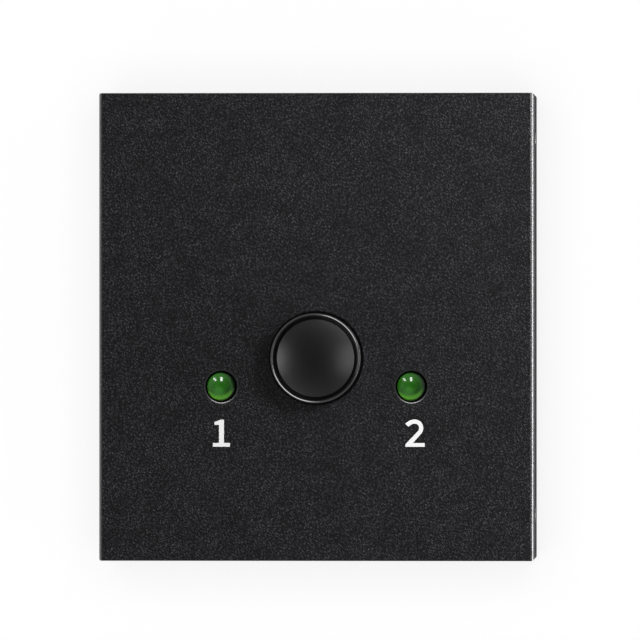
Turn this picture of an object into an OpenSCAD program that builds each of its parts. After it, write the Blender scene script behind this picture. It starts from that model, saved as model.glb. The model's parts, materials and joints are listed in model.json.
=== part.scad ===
// Two-way video switch box: a folded steel case round one circuit board, with a shared socket at the back,
// two channel sockets at the front, a latching push button and two lamps. Millimetres, +Z up.
// The origin is on the table under the middle of the case, and the channel sockets face -Y.

/* [Case] */
// Outside width of the cover, side to side
case_w = 55.8; // [52:0.1:80]
// Outside length of the cover, front to back
case_l = 60; // [56:1:90]
// Height from the tray's underside to the cover's face
case_h = 17; // [16.5:0.5:24]
// Thickness of the steel sheet of the cover and the tray
sheet_t = 0.8; // [0.6:0.1:1.2]
// Inside radius of the tray's bends
bend_r = 0.2; // [0.1:0.1:0.8]
// Outside radius of the cover's two folds, which are grooved inside before folding and so come out tight
fold_r = 0.5; // [0.3:0.1:0.8]
// Rounding of the cover's four corners, seen from above
corner_r = 0.3; // [0.1:0.1:0.8]
// Gap between the cover and the tray inside it
fit_gap = 0.15; // [0.05:0.05:0.3]
// How far the tray's end walls stand back from the cover's ends
wall_recess = 0.5; // [0.3:0.1:2]
// Length of the four ears that the cover is screwed to
ear_l = 9; // [7:0.5:12]
// Height of the four ears
ear_h = 9; // [6:0.5:10]
// Width of the relief cut above and below each ear's bend
relief_w = 0.6; // [0.3:0.1:1]

/* [Face] */
// Place of the button, from the middle of the face towards the back
button_y = -4; // [-6:0.5:0]
// Distance from the case's side to the middle of a channel: its lamp and its socket
channel_edge = 15.7; // [15.2:0.1:16]
// How far in front of the button the lamps stand
lamp_drop = 3.65; // [0:0.05:5]
// Diameter of the cover's hole for the button
button_hole_d = 12; // [11.8:0.1:13]
// Diameter of the cover's hole for a lamp
lamp_hole_d = 4; // [3.8:0.1:5]
// Broken edge round the button's hole
button_hole_edge = 0.1; // [0.05:0.05:0.4]
// Broken edge round a lamp's hole
lamp_hole_edge = 0.2; // [0.05:0.05:0.4]

/* [Button] */
// Diameter of the button cap
button_d = 11.6; // [10:0.1:11.7]
// Height of the cap's rim over the cover's face
button_rise = 3; // [2.5:0.1:4]
// Full stroke of the button
button_travel = 2; // [1.2:0.1:2]
// Radius of the cap's rounded rim
rim_r = 0.3; // [0.2:0.05:0.4]
// Diameter of the dished top inside the rim
dish_d = 9.9; // [8:0.1:10]
// Depth of the dish's edge below the rim
dish_step = 0.85; // [0.4:0.05:1]
// Depth of the dish's middle below its edge
dish_sag = 0.5; // [0.2:0.05:0.6]
// Diameter of the flange that keeps the cap under the cover
cap_flange_d = 13.2; // [12.8:0.1:15]
// Thickness of that flange
cap_flange_t = 1; // [0.6:0.1:1.2]
// Wall thickness of the hollow cap
cap_wall = 1.2; // [0.8:0.1:1.5]
// Outside diameter of the cap's socket for the stem
cap_socket_d = 5.8; // [5.2:0.1:6.4]

/* [Latching switch] */
// Width and depth of the switch housing
housing_w = 8.5; // [8:0.1:10]
// Height of the switch housing over the board
housing_h = 6.6; // [6.5:0.1:6.8]
// Thickness of the housing's floor and roof
housing_wall = 0.6; // [0.5:0.1:0.7]
// Width of the square stem
stem_w = 3.2; // [2.8:0.1:3.4]
// Width of the plunger's head inside the housing
head_w = 5.2; // [5:0.1:5.4]
// Room beside the head for the bridge contacts
bridge_room = 0.7; // [0.6:0.05:0.8]
// Running gap of the plunger in the housing
run_gap = 0.15; // [0.1:0.05:0.2]
// Wire diameter of the return spring
spring_wire = 0.3; // [0.2:0.05:0.4]
// Mean diameter of the return spring
spring_d = 2.6; // [2.2:0.1:2.7]
// Turns of the return spring
spring_turns = 4; // [3:0.5:4.5]
// Diameter of the latch wire that follows the heart cam
latch_wire_d = 0.5; // [0.4:0.05:0.55]
// Depth of the heart cam in the plunger's head
cam_depth = 0.55; // [0.4:0.05:0.6]
// Spacing of the terminals along the switch
terminal_spacing = 1.8; // [1.5:0.1:2]

/* [Lamps] */
// Diameter of the lamp's lens
lens_d = 3.6; // [3:0.1:3.7]
// Diameter of the lens's flange
lens_flange_d = 4.4; // [4:0.1:5]
// Thickness of the lens's flange
lens_flange_t = 1; // [0.6:0.1:1.2]
// Length of the lens from its foot to the top of the dome
lens_l = 5.4; // [4.5:0.1:7]
// Height of the dome's top over the cover's face
lens_rise = 0.5; // [0.1:0.1:1.5]
// Spacing of a lamp's two wires
lead_spacing = 2.54; // [2:0.02:2.6]
// Width of a lamp's square wires
lead_w = 0.5; // [0.4:0.05:0.6]

/* [Sockets] */
// Width inside the socket's mouth
mouth_w = 14; // [13.8:0.1:14.2]
// Height inside the socket's mouth
mouth_h = 4.55; // [4.45:0.05:4.7]
// How far each slanted lower corner comes in
mouth_slant_w = 1.5; // [1:0.1:1.8]
// How high each slanted lower corner reaches
mouth_slant_h = 1.9; // [1.2:0.1:2.2]
// Rounding of the mouth's corners
mouth_r = 0.4; // [0.2:0.05:0.6]
// Sheet thickness of the socket's shell
shell_t = 0.3; // [0.2:0.05:0.4]
// Length of the shell
shell_l = 11; // [10:0.1:12]
// How far the shell stands out of the tray's end wall
shell_proud = 0.2; // [0:0.05:0.25]
// Gap between the shell and the hole in the end wall
cutout_gap = 0.25; // [0.15:0.05:0.4]
// Width of the contact tongue
tongue_w = 11.2; // [10.6:0.1:11.6]
// Thickness of the contact tongue
tongue_t = 1.1; // [0.9:0.05:1.3]
// How far the tongue's tip lies behind the mouth
tongue_back = 2; // [1:0.1:2.5]
// Contacts in one socket, in two staggered rows
contact_count = 19; // [15:2:19]
// Spacing of neighbouring contacts, counting both rows
contact_spacing = 0.5; // [0.45:0.01:0.5]
// Width of a contact
contact_w = 0.3; // [0.2:0.02:0.32]
// Thickness of a contact
contact_t = 0.15; // [0.1:0.01:0.16]

/* [Board] */
// Thickness of the circuit board
board_t = 1.6; // [1:0.1:1.6]
// Gap between the board and the ears at its sides
board_side_gap = 1.25; // [0.5:0.05:2]
// Gap between the board and the end walls
board_end_gap = 0.7; // [0.3:0.1:1.5]
// Height of the posts under the board
post_h = 3.2; // [2.6:0.1:3.6]
// Diameter of the posts
post_d = 4.2; // [3.8:0.1:4.6]
// Distance from the board's side to the middle of a post
post_edge = 2.7; // [2.4:0.1:3]
// Distance from the board's end to the middle of a post
post_end = 4; // [3.5:0.1:6]

/* [Screws and feet] */
// Thread diameter of every screw
screw_d = 2; // [1.6:0.1:2.2]
// Head diameter of the flat cover screws
flat_head_d = 3.7; // [3.2:0.1:3.8]
// Length of the flat cover screws
flat_screw_l = 3.5; // [3:0.1:4]
// Head diameter of the board screws
pan_head_d = 3.8; // [3.2:0.1:4]
// Head height of the board screws
pan_head_h = 1.3; // [1:0.1:1.5]
// Length of the board screws under the head
pan_screw_l = 4; // [3:0.1:4]
// Diameter of a rubber foot
foot_d = 8; // [6:0.5:10]
// Height of a rubber foot
foot_h = 1.5; // [1:0.1:3]
// Distance from a foot's middle to the case's side and end
foot_inset = 7; // [6:0.5:10]

/* [Hidden] */
$fn = 64;
cut = 1;            // how far a cutting tool runs past the face that it cuts
snug = 0.02;        // gap of pieces that are pressed or moulded together
soft_touch = 0.05;  // gap of pieces that rest against each other in the switch

// Heights, from the table up
tray_z = foot_h;
floor_z = tray_z + sheet_t;
board_z = floor_z + post_h;
board_top = board_z + board_t;
face_z = tray_z + case_h;
roof_z = face_z - sheet_t;

// Case
outer_bend_r = bend_r + sheet_t;
fold_inside_r = 0.1;
tray_w = case_w - 2 * (sheet_t + fit_gap);
tray_l = case_l - 2 * wall_recess;
wall_top_z = roof_z - fit_gap;
ear_mid_z = tray_z + case_h / 2;
cover_screw_y = tray_l / 2 - sheet_t - ear_l / 2;
sink_h = (flat_head_d - screw_d) / 2;
thread_gap = 0.03;
sides = [-1, 1];

// Sockets: [name, middle, turn about Z]. Y runs inwards from a socket's mouth, and Z up from the board
channel_x = case_w / 2 - channel_edge;
mouth_y = tray_l / 2 + shell_proud;
PORTS = [["1", -channel_x, 0], ["2", channel_x, 0], ["common", 0, 180]];
shell_h = mouth_h + 2 * shell_t;
tongue_lift = 0.15;
tongue_z = shell_h / 2 + tongue_lift;
tongue_chamfer = 0.35;
block_l = 3.2;
block_inset = 0.2;
block_back = shell_l - block_inset;
block_y = block_back - block_l;
tail_gap = 0.1;
tail_y = shell_l + tail_gap;
tail_l = 0.9;
socket_end = tail_y + tail_l;
tab_w = 1.4;
tab_l = 0.8;
tab_root = 0.7 * shell_h;
tab_front = 3;
tab_rear = 2.8;
tab_ys = [tab_front, shell_l - tab_rear];
finger_w = 2.2;
finger_y = 2;
finger_l = 4.5;
finger_x = 3.2;
slit_w = 0.25;

// Contacts of one socket: [X, height of the underside], the longer row on top of the tongue
contact_inset = 0.5;
contact_y = tongue_back + contact_inset;
contact_proud = contact_t / 3;
top_row = (contact_count + 1) / 2;
function contact_row(n, z) = [for (i = [0:n - 1]) [(2 * i - n + 1) * contact_spacing, z]];
CONTACTS = concat(
    contact_row(top_row, tongue_z + tongue_t / 2 + contact_proud - contact_t),
    contact_row(contact_count - top_row, tongue_z - tongue_t / 2 - contact_proud)
);

// Board
board_w = tray_w - 2 * (sheet_t + board_side_gap);
board_l = tray_l - 2 * (sheet_t + board_end_gap);
board_corner_r = 1;
post_x = board_w / 2 - post_edge;
post_y = board_l / 2 - post_end;
POSTS = [for (x = sides, y = sides) [x * post_x, y * post_y]];
spigot_shoulder = 0.6;
spigot_d = post_d - 2 * spigot_shoulder;
spigot_end = 0.4;
hole_gap = 0.15;
recess_w = 2;
recess_slot = 0.5;
recess_depth = 0.6;

// Latching switch
chamber_y = head_w + 2 * run_gap;
chamber_x = head_w + 2 * bridge_room;
chamber_z = board_top + housing_wall;
chamber_top = board_top + housing_h - housing_wall;
head_top = chamber_top - soft_touch;
head_h = chamber_top - chamber_z - button_travel - run_gap;
head_z = head_top - head_h;
spring_hole_d = spring_d + spring_wire + 2 * run_gap;
head_roof = 0.85;
spring_hole_h = head_h - head_roof;
lane_x = 0.775;
lane_w = latch_wire_d + run_gap;
cam_low = 0.15;
cam_play = 0.1;
cam_h = button_travel + latch_wire_d + 3 * cam_play;
latch_z = head_z + cam_low + cam_play + latch_wire_d / 2;
latch_foot_h = 1;
latch_foot_z = board_top + latch_foot_h;
latch_y = -housing_w / 2 - latch_wire_d / 2 - cam_play;
latch_wall = 0.7;
latch_foot_y = -chamber_y / 2 - latch_wall;
bridge_t = 0.25;
bridge_over = 0.5;
bridge_l = 2 * (terminal_spacing + bridge_over);
bridge_h = 1.4;
bridge_drop = 1;
bridge_z = head_top - bridge_drop;
terminal_t = 0.2;
terminal_w = 0.8;
terminal_x = chamber_x / 2 - terminal_t;
terminal_tail = 1.1;
terminal_foot_z = board_z - terminal_tail;
terminal_room = 0.6;
terminal_high_z = chamber_top - terminal_room;
terminal_low_z = terminal_high_z - button_travel;

// Button cap
cap_top = face_z + button_rise;
cap_flange_gap = 0.3;
rim_inside = 0.05;
cap_flange_top = roof_z - cap_flange_gap;
cap_z = cap_flange_top - cap_flange_t;
dish_edge_z = cap_top - dish_step;
dish_r = (dish_d * dish_d / 4 + dish_sag * dish_sag) / (2 * dish_sag);
cap_ceiling = dish_edge_z - dish_sag - cap_wall;
stem_top = cap_ceiling - soft_touch;

// Lamps
lamp_y = button_y - lamp_drop;
lens_z = face_z + lens_rise - lens_l;
lead_tail = 1.3;
lead_foot_z = board_z - lead_tail;
LAMPS = [["1", -channel_x], ["2", channel_x]];

// Feet
foot_x = case_w / 2 - foot_inset;
foot_y = case_l / 2 - foot_inset;
FEET = [["front_left", -1, -1], ["front_right", 1, -1], ["back_left", -1, 1], ["back_right", 1, 1]];

// Small board parts
chip = [9, 3.5, 0.8];
chip_y = (button_y + housing_w / 2 + mouth_y - socket_end) / 2;
esd = [2.5, 1, 0.5];
esd_x = 2.6;
esd_gap = 1.2;
esd_y = socket_end + esd_gap;
diode = [2.7, 1.6, 1.1];
diode_gap = 3.2;
diode_y = socket_end + diode_gap;
passive = [1.6, 0.8, 0.8];
passive_row_n = 5;
passive_spacing = 2.2;
passive_gap = 1.4;
passive_offset = chip[1] / 2 + passive_gap;

NODES = concat(
    ["base_tray", "top_cover", "cover_screws", "board_posts", "board_screws", "circuit_board"],
    [for (p = PORTS, piece = ["shell", "tongue", "contacts"]) str("socket_", p[0], "_", piece)],
    ["switch_housing", "switch_terminals", "latch_wire", "return_spring"],
    ["switch_plunger", "bridge_contacts", "button_cap"],
    [for (l = LAMPS, piece = ["lens", "leads", "spacer"]) str("lamp_", l[0], "_", piece)],
    ["video_switch_chip", "surge_arrays", "power_diodes", "capacitors", "resistors"],
    [for (f = FEET) str("foot_", f[0])]
);
node = "all";

// Shapes that repeat

function unit(v) = v / norm(v);

// Points of the arc that rounds the corner b of an outline that runs a, b, c
function corner_arc(a, b, c, r, n) =
    let (
        u = unit(a - b),
        v = unit(c - b),
        half = acos(u * v) / 2,
        middle = b + unit(u + v) * r / sin(half),
        from = b + u * r / tan(half) - middle,
        to = b + v * r / tan(half) - middle,
        start = atan2(from[1], from[0]),
        sweep = (atan2(to[1], to[0]) - start + 540) % 360 - 180
    )
    [for (i = [0:n]) middle + r * [cos(start + sweep * i / n), sin(start + sweep * i / n)]];

function rounded(points, r, n = 6) =
    let (m = len(points))
    [
        for (i = [0:m - 1])
            each corner_arc(points[(i + m - 1) % m], points[i], points[(i + 1) % m], r, n)
    ];

// The socket's outline in X and Z, grown on all sides from the inside of its mouth
function mouth_outline(grow) =
    let (
        w = mouth_w / 2,
        low = shell_t,
        slant = unit([mouth_slant_h, -mouth_slant_w]),
        side_z = low + mouth_slant_h - grow * (1 - slant[0]) / -slant[1],
        foot_x = w - mouth_slant_w + grow * (1 + slant[1]) / slant[0],
        right = [[foot_x, low - grow], [w + grow, side_z], [w + grow, low + mouth_h + grow]]
    )
    rounded(concat(right, [for (i = [2:-1:0]) [-right[i][0], right[i][1]]]), mouth_r + max(grow, 0));

module rounded_rectangle(w, l, r) {
    square([w - 2 * r, l], center = true);
    square([w, l - 2 * r], center = true);
    for (x = sides, y = sides)
        translate([x * (w / 2 - r), y * (l / 2 - r)])
            circle(r);
}

// A box that is centred on X and Y and stands on z
module block(size, z = 0) {
    translate([-size[0] / 2, -size[1] / 2, z])
        cube(size);
}

// A round rod along Y between two points of that axis
module rod_y(d, y1, y2) {
    translate([0, y1, 0])
        rotate([-90, 0, 0])
            cylinder(d = d, h = y2 - y1);
}

// A prism along Y, from an outline in X and Z
module prism_y(l) {
    translate([0, l, 0])
        rotate([90, 0, 0])
            linear_extrude(l)
                children();
}

// An outline that stands on its two rounded lower corners
module round_foot(w, h, r) {
    translate([-w / 2, r])
        square([w, h - r]);
    translate([-w / 2 + r, 0])
        square([w - 2 * r, r]);
    for (x = sides)
        translate([x * (w / 2 - r), r])
            circle(r);
}

// A sheet bent up at both ends: its outline, open at the top
module bent_sheet(w, h, r_out, r_in) {
    difference() {
        round_foot(w, h, r_out);
        translate([0, sheet_t])
            round_foot(w - 2 * sheet_t, h, r_in);
    }
}

// A cross recess in the top of a screw head, whose top is at z
module cross_recess(z) {
    for (turn = [0, 90])
        rotate(turn)
            block([recess_w, recess_slot, recess_depth + cut], z - recess_depth);
}

// Puts a socket's pieces in their place: local Y runs inwards from the mouth, and Z up from the board
module at_port(p) {
    rotate(p[2])
        translate([p[1], -mouth_y, board_top])
            children();
}

module at_switch() {
    translate([0, button_y, 0])
        children();
}

module at_cover_screws() {
    for (x = sides, y = sides)
        translate([x * case_w / 2, y * cover_screw_y, ear_mid_z])
            rotate([0, x * 90, 0])
                children();
}

// Case

module end_wall_holes() {
    for (p = PORTS)
        at_port(p)
            translate([0, -cut, 0])
                prism_y(shell_proud + sheet_t + 2 * cut)
                    polygon(mouth_outline(shell_t + cutout_gap));
}

// Both ears of the front end wall, bent back from its edges, with the strip of the wall between them
module ears() {
    translate([0, -tray_l / 2, ear_mid_z - ear_h / 2])
        linear_extrude(ear_h)
            bent_sheet(tray_w, ear_l + sheet_t, outer_bend_r, bend_r);
}

module ear_reliefs() {
    relief_h = ear_h + 2 * relief_w;
    for (x = sides, y = sides)
        translate([x * (tray_w / 2 - outer_bend_r / 2), y * tray_l / 2, ear_mid_z - relief_h / 2])
            block([outer_bend_r, 2 * outer_bend_r, relief_h]);
}

module base_tray() {
    color("#1c1c1d")
        difference() {
            union() {
                difference() {
                    translate([-tray_w / 2, 0, tray_z])
                        rotate([90, 0, 90])
                            linear_extrude(tray_w)
                                bent_sheet(tray_l, wall_top_z - tray_z, outer_bend_r, bend_r);
                    ear_reliefs();
                }
                for (turn = [0, 180])
                    rotate(turn)
                        ears();
            }
            end_wall_holes();
            for (p = POSTS)
                translate([p[0], p[1], tray_z - cut])
                    cylinder(d = spigot_d + 2 * snug, h = sheet_t + 2 * cut);
            at_cover_screws()
                translate([0, 0, -2 * sheet_t - fit_gap - cut])
                    cylinder(d = screw_d + 2 * thread_gap, h = sheet_t + 2 * cut);
        }
}

// A hole down through the face, with its edge broken
module face_hole(d, edge) {
    translate([0, 0, roof_z - cut])
        cylinder(d = d, h = sheet_t + 2 * cut);
    translate([0, 0, face_z - edge])
        cylinder(d1 = d, d2 = d + 4 * edge, h = 2 * edge);
}

module top_cover() {
    color("#232325")
        difference() {
            intersection() {
                translate([0, case_l / 2, face_z])
                    rotate([90, 180, 0])
                        linear_extrude(case_l)
                            bent_sheet(case_w, case_h, fold_r, fold_inside_r);
                translate([0, 0, tray_z])
                    linear_extrude(case_h)
                        rounded_rectangle(case_w, case_l, corner_r);
            }
            at_switch()
                face_hole(button_hole_d, button_hole_edge);
            for (l = LAMPS)
                translate([l[1], lamp_y, 0])
                    face_hole(lamp_hole_d, lamp_hole_edge);
            at_cover_screws() {
                translate([0, 0, -sheet_t - cut])
                    cylinder(d = screw_d + 2 * hole_gap, h = sheet_t + 2 * cut);
                translate([0, 0, -sink_h])
                    cylinder(d1 = screw_d + 4 * snug, d2 = flat_head_d + 4 * snug + sink_h, h = 1.5 * sink_h);
            }
        }
}

module cover_screws() {
    color("#2b2b2d")
        at_cover_screws()
            difference() {
                union() {
                    translate([0, 0, -flat_screw_l])
                        cylinder(d = screw_d, h = flat_screw_l - snug);
                    translate([0, 0, -sink_h - snug])
                        cylinder(d1 = screw_d, d2 = flat_head_d, h = sink_h);
                }
                cross_recess(-snug);
            }
}

// Board and what carries it

module board_posts() {
    bore_z = tray_z + spigot_end;
    color("#b9bcc0")
        for (p = POSTS)
            translate([p[0], p[1], 0])
                difference() {
                    union() {
                        translate([0, 0, floor_z])
                            cylinder(d = post_d, h = post_h);
                        translate([0, 0, tray_z])
                            cylinder(d = spigot_d, h = sheet_t + cut);
                    }
                    translate([0, 0, bore_z])
                        cylinder(d = screw_d + 2 * thread_gap, h = board_z - bore_z + cut);
                }
}

module board_screws() {
    color("#c9ccd0")
        for (p = POSTS)
            translate([p[0], p[1], board_top])
                difference() {
                    union() {
                        cylinder(d = pan_head_d, h = pan_head_h);
                        translate([0, 0, -pan_screw_l])
                            cylinder(d = screw_d, h = pan_screw_l + cut / 2);
                    }
                    cross_recess(pan_head_h);
                }
}

module circuit_board() {
    color("#0d4a2a")
        difference() {
            translate([0, 0, board_z])
                linear_extrude(board_t)
                    rounded_rectangle(board_w, board_l, board_corner_r);
            for (p = POSTS)
                translate([p[0], p[1], board_z - cut])
                    cylinder(d = screw_d + 2 * hole_gap, h = board_t + 2 * cut);
            for (p = PORTS, x = sides, y = tab_ys)
                at_port(p)
                    translate([x * (mouth_w + shell_t) / 2, y + tab_w / 2, -board_t - cut])
                        block([shell_t + 2 * hole_gap, tab_w + 2 * hole_gap, board_t + 2 * cut]);
            at_switch()
                for (x = sides, y = [-1:1])
                    translate([x * (terminal_x + terminal_t / 2), y * terminal_spacing, board_z - cut])
                        cylinder(d = terminal_w + 2 * hole_gap, h = board_t + 2 * cut);
            for (l = LAMPS, x = sides)
                translate([l[1] + x * lead_spacing / 2, lamp_y, board_z - cut])
                    cylinder(d = lead_w * sqrt(2) + 2 * hole_gap, h = board_t + 2 * cut);
        }
}

// Sockets, each drawn with its mouth at Y = 0 and its foot on the board

// The slits that free a spring finger in the shell's roof
module finger_slits() {
    for (x = sides) {
        for (edge = sides)
            translate([x * finger_x + edge * finger_w / 2, finger_y + finger_l / 2, 0])
                block([slit_w, finger_l, 4 * shell_t], shell_h - 2 * shell_t);
        translate([x * finger_x, finger_y + slit_w / 2, 0])
            block([finger_w, slit_w, 4 * shell_t], shell_h - 2 * shell_t);
    }
}

module socket_shell() {
    color("#c4c7cb")
        difference() {
            union() {
                prism_y(shell_l)
                    difference() {
                        polygon(mouth_outline(shell_t));
                        polygon(mouth_outline(0));
                    }
                for (x = sides, y = tab_ys)
                    translate([x * (mouth_w + shell_t) / 2, y + tab_w / 2, 0])
                        block([shell_t, tab_w, board_t + tab_l + tab_root], -board_t - tab_l);
            }
            finger_slits();
        }
}

// The contact's path in Y and Z: along the tongue, out at the back and down to a foot on the board
module contact_outline(z) {
    back_y = tail_y + contact_t;
    polygon([
        [contact_y, z], [contact_y, z + contact_t], [back_y, z + contact_t], [back_y, contact_t],
        [socket_end, contact_t], [socket_end, 0], [tail_y, 0], [tail_y, z]
    ]);
}

module socket_tongue() {
    half_t = tongue_t / 2;
    edge_y = tongue_back + tongue_chamfer;
    edge_z = half_t - tongue_chamfer;
    color("#161617")
        difference() {
            union() {
                translate([0, block_y, 0])
                    prism_y(block_back - block_y)
                        polygon(mouth_outline(-soft_touch));
                translate([-tongue_w / 2, 0, tongue_z])
                    rotate([90, 0, 90])
                        linear_extrude(tongue_w)
                            polygon([
                                [tongue_back, -edge_z], [edge_y, -half_t], [block_y + cut, -half_t],
                                [block_y + cut, half_t], [edge_y, half_t], [tongue_back, edge_z]
                            ]);
            }
            for (c = CONTACTS)
                translate([c[0] - contact_w / 2 - snug, contact_y - snug, c[1] - snug])
                    cube([contact_w + 2 * snug, block_back - contact_y + cut, contact_t + 2 * snug]);
        }
}

module socket_contacts() {
    color("#d8b25a")
        for (c = CONTACTS)
            translate([c[0] - contact_w / 2, 0, 0])
                rotate([90, 0, 90])
                    linear_extrude(contact_w)
                        contact_outline(c[1]);
}

// Latching switch

module switch_housing() {
    stem_hole_w = stem_w + 2 * run_gap;
    color("#101011")
        at_switch()
            difference() {
                block([housing_w, housing_w, housing_h], board_top);
                block([chamber_x, chamber_y, chamber_top - chamber_z], chamber_z);
                block([stem_hole_w, stem_hole_w, housing_wall + 2 * cut], chamber_top - cut);
                translate([lane_x, 0, latch_z])
                    rod_y(latch_wire_d + run_gap, -housing_w / 2 - cut, -chamber_y / 2 + cut);
                translate([lane_x, 0, latch_foot_z])
                    rod_y(latch_wire_d + 2 * snug, -housing_w / 2 - cut, latch_foot_y);
                for (x = sides, y = [-1:1])
                    translate([x * (terminal_x + terminal_t / 2), y * terminal_spacing, board_top - cut])
                        block([terminal_t + 2 * snug, terminal_w + 2 * snug, housing_wall + 2 * cut]);
            }
}

module switch_terminals() {
    color("#d0d2d4")
        at_switch()
            for (x = sides, y = [-1:1])
                let (top = y == 0 ? terminal_high_z : terminal_low_z)
                    translate([x * (terminal_x + terminal_t / 2), y * terminal_spacing, terminal_foot_z])
                        block([terminal_t, terminal_w, top - terminal_foot_z]);
}

module latch_wire() {
    tip_y = -head_w / 2 + cam_depth - cam_play;
    color("#bfc2c6")
        at_switch()
            translate([lane_x, 0, 0]) {
                translate([0, 0, latch_z])
                    rod_y(latch_wire_d, latch_y, tip_y);
                translate([0, 0, latch_foot_z])
                    rod_y(latch_wire_d, latch_y, latch_foot_y - snug);
                translate([0, latch_y, latch_foot_z])
                    cylinder(d = latch_wire_d, h = latch_z - latch_foot_z);
                for (z = [latch_foot_z, latch_z])
                    translate([0, latch_y, z])
                        sphere(d = latch_wire_d);
            }
}

// The return spring's centre line: a plain helix between the housing's floor and the plunger's ceiling
spring_low = chamber_z + soft_touch + spring_wire / 2;
spring_high = head_z + spring_hole_h - soft_touch - spring_wire / 2;
spring_rings = 12;
spring_sides = 6;
function spring_turn(i) = 360 * i / spring_rings;
function spring_point(i) =
    [
        spring_d / 2 * cos(spring_turn(i)),
        spring_d / 2 * sin(spring_turn(i)),
        spring_low + (spring_high - spring_low) * i / (spring_rings * spring_turns)
    ];
function spring_ring(i) =
    let (
        out = [cos(spring_turn(i)), sin(spring_turn(i)), 0],
        rise = (spring_high - spring_low) / spring_turns / (PI * spring_d),
        along = unit([-out[1], out[0], rise]),
        over = cross(along, out)
    )
    [
        for (k = [0:spring_sides - 1])
            let (a = 360 * k / spring_sides)
            spring_point(i) + spring_wire / 2 * (cos(a) * out + sin(a) * over)
    ];

spring_last = spring_rings * spring_turns;
spring_gaps = [
    for (i = [0:spring_last], j = [i + spring_rings / 2:spring_last])
        norm(spring_point(i) - spring_point(j)) - spring_wire
];
echo(spring_least_gap = min(spring_gaps));

module return_spring() {
    n = spring_sides;
    side_faces = [
        for (i = [0:spring_last - 1], k = [0:n - 1])
            let (a = i * n + k, b = i * n + (k + 1) % n)
            each [[a, b + n, b], [a, a + n, b + n]]
    ];
    end_faces = [[for (k = [0:n - 1]) k], [for (k = [n - 1:-1:0]) spring_last * n + k]];
    color("#a9adb2")
        at_switch()
            polyhedron([for (i = [0:spring_last]) each spring_ring(i)], concat(side_faces, end_faces));
}

// The heart cam: a pocket in the head's front with an island that the latch wire goes round
module heart_cam() {
    island_w = 2 * lane_x - lane_w;
    island_h = cam_h - 2 * (lane_w + cam_play);
    translate([0, -head_w / 2 - cut, head_z + cam_low])
        prism_y(cam_depth + cut)
            difference() {
                translate([-lane_x - lane_w / 2, 0])
                    square([2 * lane_x + lane_w, cam_h]);
                translate([0, lane_w])
                    polygon([
                        [0, 0], [island_w / 2, island_h / 2], [island_w / 2, island_h],
                        [0, island_h * 0.75], [-island_w / 2, island_h], [-island_w / 2, island_h / 2]
                    ]);
            }
}

module switch_plunger() {
    color("#e6e4de")
        at_switch()
            difference() {
                union() {
                    block([head_w, head_w, head_h], head_z);
                    block([stem_w, stem_w, stem_top - head_top + cut], head_top - cut);
                }
                translate([0, 0, head_z - cut])
                    cylinder(d = spring_hole_d, h = spring_hole_h + cut);
                heart_cam();
            }
}

module bridge_contacts() {
    dimple_d = 1;
    dimple_h = bridge_room - terminal_t - bridge_t - 2 * soft_touch;
    dimple_foot_d = dimple_d + 2 * dimple_h;
    color("#b9873f")
        at_switch()
            for (x = sides)
                translate([x * head_w / 2, 0, bridge_z])
                    rotate([0, x * 90, 0]) {
                        block([bridge_h, bridge_l, bridge_t]);
                        for (y = [-1:1])
                            translate([0, y * terminal_spacing, 0])
                                cylinder(d1 = dimple_foot_d, d2 = dimple_d, h = bridge_t + dimple_h);
                    }
}

// The cap's outline from its axis outwards: dished top, steep wall, rim rounded outwards, skirt and flange
module cap_outline() {
    r = button_d / 2;
    rim_x = r - rim_r;
    wall_x = rim_x - rim_inside;
    difference() {
        union() {
            translate([0, cap_z])
                square([r, cap_top - rim_r - cap_z]);
            translate([rim_x, cap_top - rim_r])
                circle(rim_r);
            translate([0, cap_z])
                square([cap_flange_d / 2, cap_flange_t]);
        }
        polygon([
            [-cut, dish_edge_z], [dish_d / 2, dish_edge_z], [wall_x, cap_top],
            [wall_x, cap_top + cut], [-cut, cap_top + cut]
        ]);
        intersection() {
            translate([0, dish_edge_z - dish_sag + dish_r])
                circle(dish_r, $fn = 256);
            translate([0, cap_z])
                square([dish_d / 2, cap_top - cap_z]);
        }
        translate([cap_socket_d / 2, cap_z - cut])
            square([r - cap_wall - cap_socket_d / 2, cap_ceiling - cap_z + cut]);
        translate([-r, cap_z - cut])
            square([r, cap_top]);
    }
}

module button_cap() {
    socket_w = stem_w + 2 * snug;
    color("#141415")
        at_switch()
            difference() {
                rotate_extrude($fn = 96)
                    cap_outline();
                block([socket_w, socket_w, cap_ceiling - cap_z + cut], cap_z - cut);
            }
}

// Lamps

module lamp_lens() {
    r = lens_d / 2;
    color("#2f8a2a")
        translate([0, lamp_y, lens_z])
            rotate_extrude()
                intersection() {
                    union() {
                        square([r, lens_l - r]);
                        translate([0, lens_l - r])
                            circle(r);
                        square([lens_flange_d / 2, lens_flange_t]);
                    }
                    square([lens_flange_d, lens_l]);
                }
}

module lamp_leads() {
    color("#c9ccd0")
        for (x = sides)
            translate([x * lead_spacing / 2, lamp_y, 0])
                block([lead_w, lead_w, lens_z - lead_foot_z], lead_foot_z);
}

module lamp_spacer() {
    color("#1a1a1a")
        translate([0, lamp_y, board_top])
            difference() {
                cylinder(d = lens_flange_d, h = lens_z - board_top);
                for (x = sides)
                    translate([x * lead_spacing / 2, 0, -cut])
                        cylinder(d = lead_w * sqrt(2) + 2 * snug, h = lens_z - board_top + 2 * cut);
            }
}

// Small board parts

module video_switch_chip() {
    lead = [0.25, 0.4, 0.2];
    lead_step = 0.5;
    lead_n = floor(chip[0] / lead_step) - 1;
    color("#202124")
        translate([0, chip_y, board_top]) {
            block(chip);
            for (i = [0:lead_n - 1], y = sides)
                translate([(i - (lead_n - 1) / 2) * lead_step, y * chip[1] / 2, 0])
                    block(lead);
        }
}

module surge_arrays() {
    color("#26272a")
        for (p = PORTS, x = sides)
            at_port(p)
                translate([x * esd_x, esd_y, 0])
                    block(esd);
}

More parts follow.
